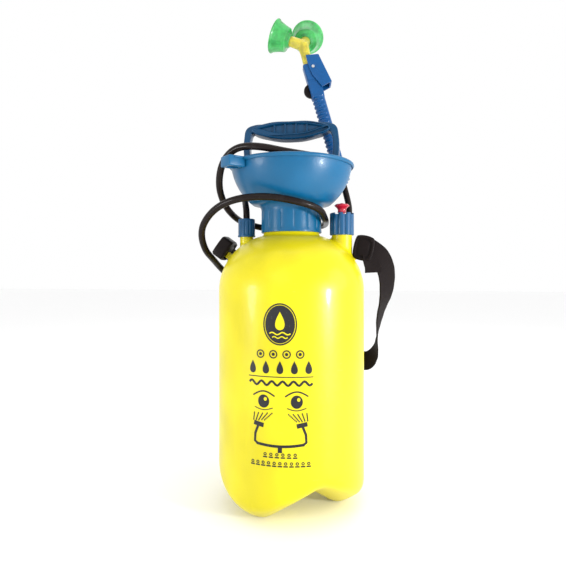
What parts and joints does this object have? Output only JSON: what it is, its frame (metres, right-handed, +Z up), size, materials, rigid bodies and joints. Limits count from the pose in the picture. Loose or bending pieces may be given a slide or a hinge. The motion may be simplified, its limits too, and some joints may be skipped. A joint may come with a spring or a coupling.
{
  "type": "eyewash station",
  "caption": "Portable pressure eyewash: hand-pumped tank with filling funnel, hose and a trigger wand ending in a forked head with eye cups.",
  "frame": {"origin": "on the floor, on the tank's axis", "axes": "+Z up along the tank, label side towards -Y, outlet port towards -X and relief port towards +X"},
  "size_m": [0.2305, 0.2007, 0.6141],
  "materials": {
    "tank_yellow": "glossy blow-moulded plastic",
    "funnel_blue": "glossy moulded plastic",
    "fitting_blue": "glossy moulded plastic",
    "handle_blue": "satin moulded plastic",
    "wand_blue": "satin moulded plastic",
    "knob_red": "glossy moulded plastic",
    "head_yellow": "translucent soft plastic",
    "cup_green": "translucent soft plastic",
    "hose_black": "glossy flexible hose",
    "strap_black": "woven webbing",
    "buckle_black": "moulded plastic",
    "seal_black": "matt rubber",
    "inner_white": "natural moulded plastic",
    "steel": "bright steel"
  },
  "bodies": {
    "station": {"tank_shell": "tank_yellow", "funnel": "funnel_blue", "neck_seal": "seal_black", "outlet_seal": "seal_black", "outlet_stem": "inner_white", "outlet_nut": "fitting_blue", "dip_tube": "inner_white", "strainer": "inner_white", "relief_seat": "inner_white", "relief_housing": "fitting_blue", "strap_buckle_left": "buckle_black", "strap_buckle_right": "buckle_black", "strap": "strap_black", "hose": "hose_black"},
    "relief_valve": {"relief_knob": "knob_red", "relief_seal": "seal_black", "relief_spring": "steel"},
    "pump_unit": {"pump_seal": "seal_black", "pump_head": "handle_blue", "rod_bush": "inner_white", "pump_barrel": "inner_white", "barrel_foot": "inner_white", "foot_clip": "inner_white"},
    "check_valve": {"check_disc": "seal_black"},
    "plunger": {"piston": "inner_white", "piston_cup": "seal_black"},
    "pump_handle": {"handle": "handle_blue", "handle_pin": "steel", "pump_rod": "inner_white", "piston_screw": "inner_white"},
    "wand": {"wand_barb": "inner_white", "wand_hose_nut": "wand_blue", "wand_tube": "inner_white", "wand_grip": "wand_blue", "lock_pin": "steel", "stem_clip": "steel", "trigger_pins": "steel", "valve_cap": "wand_blue", "valve_spring": "steel"},
    "trigger_lever": {"trigger": "wand_blue"},
    "lock_tab": {"trigger_lock": "buckle_black"},
    "spool": {"valve_plunger": "inner_white", "valve_ring": "seal_black"},
    "spray_head": {"y_tube": "head_yellow", "stem_seal": "seal_black", "nozzle_left": "head_yellow", "nozzle_right": "head_yellow", "eyecup_left": "cup_green", "eyecup_right": "cup_green"}
  },
  "joints": [
    {"name": "relief_pull", "type": "slide", "parent": "station", "child": "relief_valve", "axis": [0, 0, 1], "range_m": [0, 0.004], "stiffness_N_per_m": 600, "springref_m": -0.002, "deforming": ["relief_spring"]},
    {"name": "pump_lift_out", "type": "slide", "parent": "station", "child": "pump_unit", "axis": [0, 0, 1], "range_m": [0, 0.25]},
    {"name": "check_lift", "type": "slide", "parent": "pump_unit", "child": "check_valve", "axis": [0, 0, 1], "range_m": [0, 0.002]},
    {"name": "pump_stroke", "type": "slide", "parent": "pump_unit", "child": "plunger", "axis": [0, 0, 1], "range_m": [0, 0.18]},
    {"name": "handle_turn", "type": "hinge", "parent": "plunger", "child": "pump_handle", "pos_m": [0, 0, 0.372], "axis": [0, 0, 1], "range_deg": [0, 40]},
    {"name": "wand_lift", "type": "slide", "parent": "station", "child": "wand", "axis": [-0.2759, 0.0521, 0.9598], "range_m": [0, 0.08]},
    {"name": "trigger_press", "type": "hinge", "parent": "wand", "child": "trigger_lever", "pos_m": [0.01919, 0.06599, 0.53719], "axis": [-0.1384, 0.986, -0.0933], "range_deg": [0, 10], "stiffness_Nm_per_rad": 0.35, "springref_deg": -5.73},
    {"name": "spool_travel", "type": "slide", "parent": "wand", "child": "spool", "axis": [-0.9512, -0.1586, -0.2648], "range_m": [0, 0.0027], "deforming": ["valve_spring"]},
    {"name": "lock_rock", "type": "hinge", "parent": "wand", "child": "lock_tab", "pos_m": [0.0174, 0.06295, 0.50767], "axis": [-0.1384, 0.986, -0.0933], "range_deg": [0, 12]},
    {"name": "head_swivel", "type": "hinge", "parent": "wand", "child": "spray_head", "pos_m": [0.01586, 0.06544, 0.53626], "axis": [-0.2759, 0.0521, 0.9598], "range_deg": [-90, 90]}
  ],
  "couplings": [
    {"joint": "spool_travel", "follows": "trigger_press", "m_per_rad": 0.0145}
  ]
}
